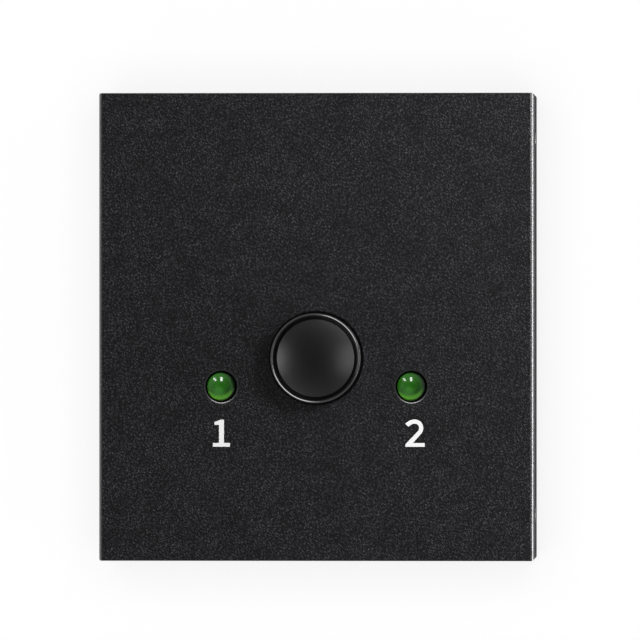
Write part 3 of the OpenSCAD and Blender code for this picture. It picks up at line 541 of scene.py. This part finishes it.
def printed(name, bm, x, y):
    """Gives a flat numeral the ink's thickness and lays its lower left corner at x, y on the face."""
    bmesh.ops.recalc_face_normals(bm, faces=bm.faces)
    film = bmesh.ops.extrude_face_region(bm, geom=bm.faces[:])
    bmesh.ops.translate(
        bm, verts=[v for v in film["geom"] if isinstance(v, bmesh.types.BMVert)], vec=(0, 0, ink_h))
    bmesh.ops.recalc_face_normals(bm, faces=bm.faces)
    bmesh.ops.translate(bm, verts=bm.verts, vec=(x, y, face_z))
    mesh = bpy.data.meshes.new(name)
    bm.to_mesh(mesh)
    bm.free()
    mesh.materials.append(ink)
    piece = bpy.data.objects.new(name, mesh)
    bpy.context.scene.collection.objects.link(piece)
    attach(piece, "case")


# Numeral 1: a stem with a slanted flag, on a foot.
number_y = -15.36 * mm
one_x = -13.27 * mm
one_w, one_h = 2.2 * mm, 3.47 * mm
soft_corner = 0.07 * mm
foot_h = 0.48 * mm
stem_left, stem_right = 0.79 * mm, 1.42 * mm
flag_left, flag_low, flag_high, flag_top = 0.2 * mm, 2.8 * mm, 3.17 * mm, 0.98 * mm
bm = bmesh.new()
bm.faces.new([bm.verts.new((x, y, 0)) for x, y in (
    (0, 0), (one_w, 0), (one_w, foot_h), (stem_right, foot_h), (stem_right, one_h), (flag_top, one_h),
    (flag_left, flag_high), (flag_left, flag_low), (stem_left, flag_low), (stem_left, foot_h), (0, foot_h))])
bmesh.ops.bevel(
    bm, geom=bm.verts[:], offset=soft_corner, affect="VERTICES", segments=3, profile=0.5, material=-1)
printed("numeral_1", bm, one_x, number_y)

# Numeral 2: a round bowl that runs out into a diagonal, on a foot.
two_x = 11.43 * mm
two_w, stroke = 2.48 * mm, 0.54 * mm
heel_x, heel_h = 0.97 * mm, 0.32 * mm
brow_steps, bowl_steps = 8, 24
bowl_r, brow_r = 0.84 * mm, 1.5 * mm
bowl_x, bowl_y = 1.19 * mm, 2.4 * mm
brow_from, bowl_to, brow_to = math.radians(100), math.radians(-45), math.radians(138)
bm = bmesh.new()
out = Vector((math.cos(brow_from), math.sin(brow_from), 0))
bowl = Vector((bowl_x, bowl_y, 0))
brow = bowl + out * (bowl_r - brow_r)
start = [bm.verts.new(bowl + out * (bowl_r + side * stroke / 2)) for side in (1, -1)]
nib = bm.edges.new(start)
bmesh.ops.spin(
    bm, geom=[nib] + start, cent=brow, axis=(0, 0, 1), angle=brow_to - brow_from, steps=brow_steps)
swept = bmesh.ops.spin(
    bm, geom=[nib] + start, cent=bowl, axis=(0, 0, 1), angle=bowl_to - brow_from, steps=bowl_steps)
ends = [v for v in swept["geom_last"] if isinstance(v, bmesh.types.BMVert)]
outer, inner = sorted(ends, key=lambda v: -(v.co - bowl).length)
foot = [bm.verts.new((x, y, 0)) for x, y in (
    (heel_x, foot_h), (two_w, foot_h), (two_w, 0), (0, 0), (0, heel_h))]
bm.faces.new((outer, foot[0], foot[4], inner))
bm.faces.new(foot)
bmesh.ops.remove_doubles(bm, verts=bm.verts, dist=weld)
printed("numeral_2", bm, two_x, number_y)

# Studio sweep: pale paper that lies under the object and curves up far behind it on every side.
# It shows white where nothing shades it, and takes the object's soft shadow. A strip of it right beside the
# object is painted dark to mirrored rays alone, as painted shade, so that the case's sides don't turn pale
# with it.
sweep_r = 4.0
sweep_bend = 1.0
sweep_top = 3.5
sweep_steps = 96
bend_steps = 12
glow_part = 0.8
near_paper = 33 * mm
far_paper = 38 * mm
paper, tree = new_material("white_studio_paper")
paths = add_node(tree, "LightPath")
place = add_node(tree, "TexCoord").outputs["Object"]
spread = add_node(tree, "VectorMath", {0: place}, operation="ABSOLUTE")
spread = add_node(tree, "SeparateXYZ", {0: spread})
off_centre = add_node(tree, "Math", {0: spread.outputs["X"], 1: spread.outputs["Y"]}, operation="MAXIMUM")
far = add_node(tree, "MapRange", {"Value": off_centre, "From Min": near_paper, "From Max": far_paper})
mirrored = add_node(tree, "Math", {0: paths.outputs["Is Glossy Ray"], 1: far}, operation="MULTIPLY")
shaded = add_node(tree, "Math", {0: paths.outputs["Is Glossy Ray"], 1: mirrored}, operation="SUBTRACT")
seen = add_node(tree, "Math", {0: paths.outputs["Is Camera Ray"], 1: mirrored}, operation="MAXIMUM")
seen = add_node(tree, "Math", {0: seen, 1: paths.outputs["Is Transmission Ray"]}, operation="MAXIMUM")
glow_share = add_node(tree, "Math", {0: seen, 1: glow_part}, operation="MULTIPLY")
# Painted shade: the strip beside the object shows near black to mirrored rays.
paper_colour = add_node(
    tree, "MixRGB", {"Fac": shaded, "Color1": linear("#f6f6f6"), "Color2": linear("#0c0c0c")})
sheet = add_node(tree, "BsdfDiffuse", {"Color": paper_colour})
glow = add_node(tree, "Emission", {"Color": linear("#ffffff"), "Strength": 1})
mixed = add_node(tree, "MixShader", {0: glow_share, 1: sheet, 2: glow})
add_node(tree, "OutputMaterial", {"Surface": mixed})

bm = bmesh.new()
flat_end = profile_line(bm, bm.verts.new((0, 0, 0)), (sweep_r - sweep_bend, 0))
bend = bmesh.ops.spin(
    bm, geom=[flat_end], cent=(sweep_r - sweep_bend, 0, sweep_bend), axis=(0, -1, 0),
    angle=math.pi / 2, steps=bend_steps)
upright = [v for v in bend["geom_last"] if isinstance(v, bmesh.types.BMVert)][0]
profile_line(bm, upright, (sweep_r, sweep_top))
sweep = turned("studio_sweep", bm, (0, 0, 0), steps=sweep_steps)
sweep.data.materials.append(paper)

# Studio light: a room dark overhead, and a key at the back right on all but the paper and polished pieces.
# Flags keep each other box to its own piece: the ceiling to the paper, the shoulders and sides to the cap,
# the panels to the case's edges, the strip to the coat beads and the windows to the lamps.
light_aim = Vector((0, 0, face_z))
case_only = bpy.data.collections.new("case_only")
for name in ("top_cover", "base_tray"):
    case_only.objects.link(frame["nodes"][name])
cap_only = bpy.data.collections.new("cap_only")
cap_only.objects.link(cap)
paper_only = bpy.data.collections.new("paper_only")
paper_only.objects.link(sweep)
key_lit = bpy.data.collections.new("case_and_print")
for flagged in (cap, sweep, *domes.objects, *beads.objects):
    key_lit.objects.link(flagged)
for flag in key_lit.collection_objects:
    flag.light_linking.link_state = "EXCLUDE"


def softbox(name, azimuth, off_zenith, distance, width, height, radiance, lit):
    """A soft box aimed at the face and flagged to one collection; azimuth turns from +X to +Y."""
    lamp = bpy.data.lights.new(name, "AREA")
    lamp.shape = "RECTANGLE"
    lamp.size = width
    lamp.size_y = height
    lamp.energy = math.pi * width * height * radiance
    turn = Matrix.Rotation(math.radians(azimuth), 3, "Z") @ Matrix.Rotation(math.radians(off_zenith), 3, "Y")
    box = bpy.data.objects.new(name, lamp)
    box.rotation_euler = (turn @ Matrix.Rotation(math.pi / 2, 3, "Z")).to_euler()
    box.location = light_aim + turn @ Vector((0, 0, distance))
    box.visible_camera = False
    box.light_linking.receiver_collection = lit
    bpy.context.scene.collection.objects.link(box)


softbox("ceiling", 0, 0, 1.50, 1.00, 1.00, 6.6, paper_only)
softbox("key", 30, 45, 0.27, 0.12, 0.08, 23.0, key_lit)
softbox("shoulder_right", 52, 48, 0.40, 0.34, 0.26, 7.5, cap_only)
softbox("shoulder_left", 230, 49, 0.55, 0.54, 0.34, 9.0, cap_only)
softbox("side_right", 0, 24, 0.55, 0.14, 0.15, 3.6, cap_only)
softbox("side_left", 180, 24, 0.55, 0.14, 0.15, 1.9, cap_only)
softbox("panel_right", 0, 84, 0.60, 0.60, 0.18, 34.0, case_only)
softbox("panel_left", 180, 78, 0.60, 0.60, 0.18, 3.0, case_only)
softbox("strip_back", 90, 62, 0.60, 0.70, 0.36, 20.0, beads)
softbox("window_back", 93, 42, 0.60, 0.11, 0.25, 42.0, domes)
softbox("window_back_left", 136, 58, 0.60, 0.07, 0.26, 34.0, domes)

# Room: even light from all round that falls away to near dark straight above.
overhead_light = 0.03
shoulder_light = 0.38
dim_from, dim_to = 0.9, 0.99
room = bpy.data.worlds.new("studio_room")
room.use_nodes = True
tree = room.node_tree
tree.nodes.clear()
toward = add_node(tree, "SeparateXYZ", {0: add_node(tree, "TexCoord").outputs["Generated"]})
strength = add_node(
    tree, "MapRange", {
        "Value": toward.outputs["Z"], "From Min": dim_from, "From Max": dim_to, "To Min": shoulder_light,
        "To Max": overhead_light})
ceiling = add_node(tree, "Background", {"Color": linear("#ffffff"), "Strength": strength})
add_node(tree, "OutputWorld", {"Surface": ceiling})
bpy.context.scene.world = room
bpy.context.scene.view_settings.view_transform = "Standard"

# Camera: a long lens above the face, leaning a little to the right, so that a strip of the right side shows.
# Its distance follows from the lens and from how much of the face one pixel of the square picture covers.
photo_side = 640
photo_scale = 0.1282 * mm
lean = math.radians(2.45)
aim = Vector((0.48 * mm, 0.89 * mm, face_z))
long_lens = bpy.data.cameras.new("long_lens")
long_lens.lens = 560
long_lens.sensor_width = 36
long_lens.clip_end = 20
away = long_lens.lens / long_lens.sensor_width * photo_side * photo_scale
camera = bpy.data.objects.new("long_lens", long_lens)
camera.rotation_euler = (0, lean, 0)
camera.location = aim + away * Vector((math.sin(lean), 0, math.cos(lean)))
bpy.context.scene.collection.objects.link(camera)
bpy.context.scene.camera = camera
